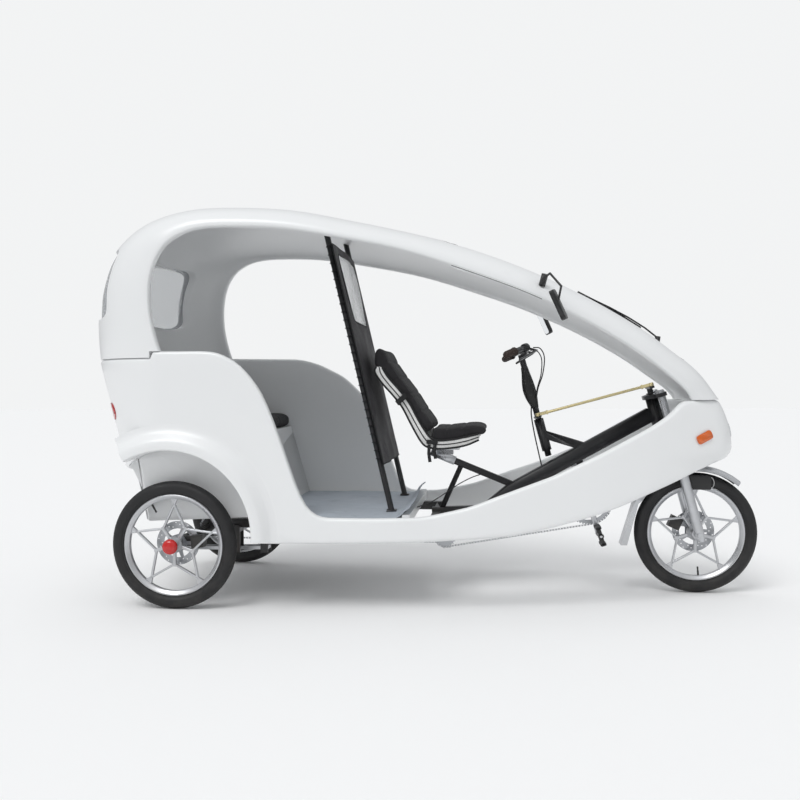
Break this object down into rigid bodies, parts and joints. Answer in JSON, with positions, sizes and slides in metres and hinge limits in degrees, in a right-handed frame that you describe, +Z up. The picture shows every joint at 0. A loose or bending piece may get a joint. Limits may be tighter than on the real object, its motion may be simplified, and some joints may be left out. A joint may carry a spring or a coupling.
{
  "type": "cycle rickshaw",
  "caption": "Three-wheeled pedal rickshaw with a fully shelled white body, open sides, passenger bench, rider's seat, linked steering and star-spoked wheels.",
  "frame": {"origin": "middle of the bounding box on the ground", "axes": "+X forward, towards the front wheel; +Y to the vehicle's left; +Z up"},
  "size_m": [2.8881, 1.09, 1.687],
  "materials": {
    "body_white": "satin moulded",
    "frame_black": "satin powder coat",
    "silver": "satin",
    "steel": "plain",
    "tyre_rubber": "matt",
    "cushion_black": "woven",
    "cover_black": "coated fabric",
    "clear_sheet": "clear flexible sheet",
    "screen": "clear",
    "mat_grey": "soft mat",
    "cap_red": "gloss",
    "marker_orange": "clear lens",
    "lamp_clear": "clear lens",
    "lamp_red": "clear lens",
    "rod_zinc": "yellow zinc",
    "plastic_black": "matt",
    "grip_rubber": "matt"
  },
  "bodies": {
    "chassis": {"divider_cover": "cover_black", "divider_frame": "frame_black", "divider_window": "clear_sheet", "floor_mat": "mat_grey", "floor_pan": "body_white", "front_chain": "steel", "headlamp": "lamp_clear", "jackshaft": "steel", "leaf_spring_left": "silver", "leaf_spring_right": "silver", "lower_body": "body_white", "main_frame": "frame_black", "mirror_left": "plastic_black", "mirror_right": "plastic_black", "passenger_backrest": "cushion_black", "passenger_cushion": "cushion_black", "rear_axle": "frame_black", "rear_caliper_left": "frame_black", "rear_caliper_right": "frame_black", "rear_chain": "steel", "rear_window": "clear_sheet", "rider_seat_back": "cushion_black", "rider_seat_frame": "silver", "rider_seat_pan": "cushion_black", "rider_seat_rail": "frame_black", "rider_seat_shell": "body_white", "roof_shell": "body_white", "seat_base": "body_white", "side_marker_left": "marker_orange", "side_marker_right": "marker_orange", "tail_lamp_left": "lamp_red", "tail_lamp_right": "lamp_red", "windscreen": "screen", "wiper": "plastic_black"},
    "fork": {"fork": "silver", "front_caliper": "frame_black", "front_mudguard": "silver", "mudguard_flap": "silver"},
    "front_wheel": {"front_tyre": "tyre_rubber", "front_wheel": "silver", "front_disc": "steel"},
    "rear_right_wheel": {"rear_right_tyre": "tyre_rubber", "rear_right_wheel": "silver", "rear_disc_right": "steel", "hub_cap_right": "cap_red"},
    "rear_left_wheel": {"rear_left_tyre": "tyre_rubber", "rear_left_wheel": "silver", "rear_disc_left": "steel", "hub_cap_left": "cap_red"},
    "handlebar": {"handlebar": "frame_black", "grip_left": "grip_rubber", "grip_right": "grip_rubber"},
    "steering_rod": {"steering_rod": "rod_zinc"},
    "crank": {"crankset": "silver"},
    "pedal_right": {"pedal_right": "plastic_black"},
    "pedal_left": {"pedal_left": "plastic_black"}
  },
  "joints": [
    {"name": "front_steer", "type": "hinge", "parent": "chassis", "child": "fork", "pos_m": [0.999, 0, 0.856], "axis": [-0.2588, 0, 0.9659], "range_deg": [-35, 35]},
    {"name": "front_roll", "type": "hinge", "parent": "fork", "child": "front_wheel", "pos_m": [1.184, 0, 0.26], "axis": [0, 1, 0], "continuous": true},
    {"name": "rear_right_roll", "type": "hinge", "parent": "chassis", "child": "rear_right_wheel", "pos_m": [-0.978, -0.4705, 0.26], "axis": [0, 1, 0], "continuous": true},
    {"name": "rear_left_roll", "type": "hinge", "parent": "chassis", "child": "rear_left_wheel", "pos_m": [-0.978, 0.4705, 0.26], "axis": [0, 1, 0], "continuous": true},
    {"name": "handlebar_turn", "type": "hinge", "parent": "chassis", "child": "handlebar", "pos_m": [0.507, 0, 0.774], "axis": [-0.2588, 0, 0.9659], "range_deg": [-35, 35]},
    {"name": "steering_rod_swing", "type": "hinge", "parent": "handlebar", "child": "steering_rod", "pos_m": [0.507, -0.07, 0.774], "axis": [-0.2588, 0, 0.9659], "range_deg": [-35, 35]},
    {"name": "crank_turn", "type": "hinge", "parent": "chassis", "child": "crank", "pos_m": [0.722, 0, 0.4], "axis": [0, 1, 0], "continuous": true},
    {"name": "pedal_right_turn", "type": "hinge", "parent": "crank", "child": "pedal_right", "pos_m": [0.76352, -0.134, 0.26421], "axis": [0, 1, 0], "continuous": true},
    {"name": "pedal_left_turn", "type": "hinge", "parent": "crank", "child": "pedal_left", "pos_m": [0.68048, 0.134, 0.5358], "axis": [0, 1, 0], "continuous": true}
  ],
  "couplings": [
    {"joint": "handlebar_turn", "follows": "front_steer", "ratio": 1},
    {"joint": "steering_rod_swing", "follows": "front_steer", "ratio": -1}
  ]
}
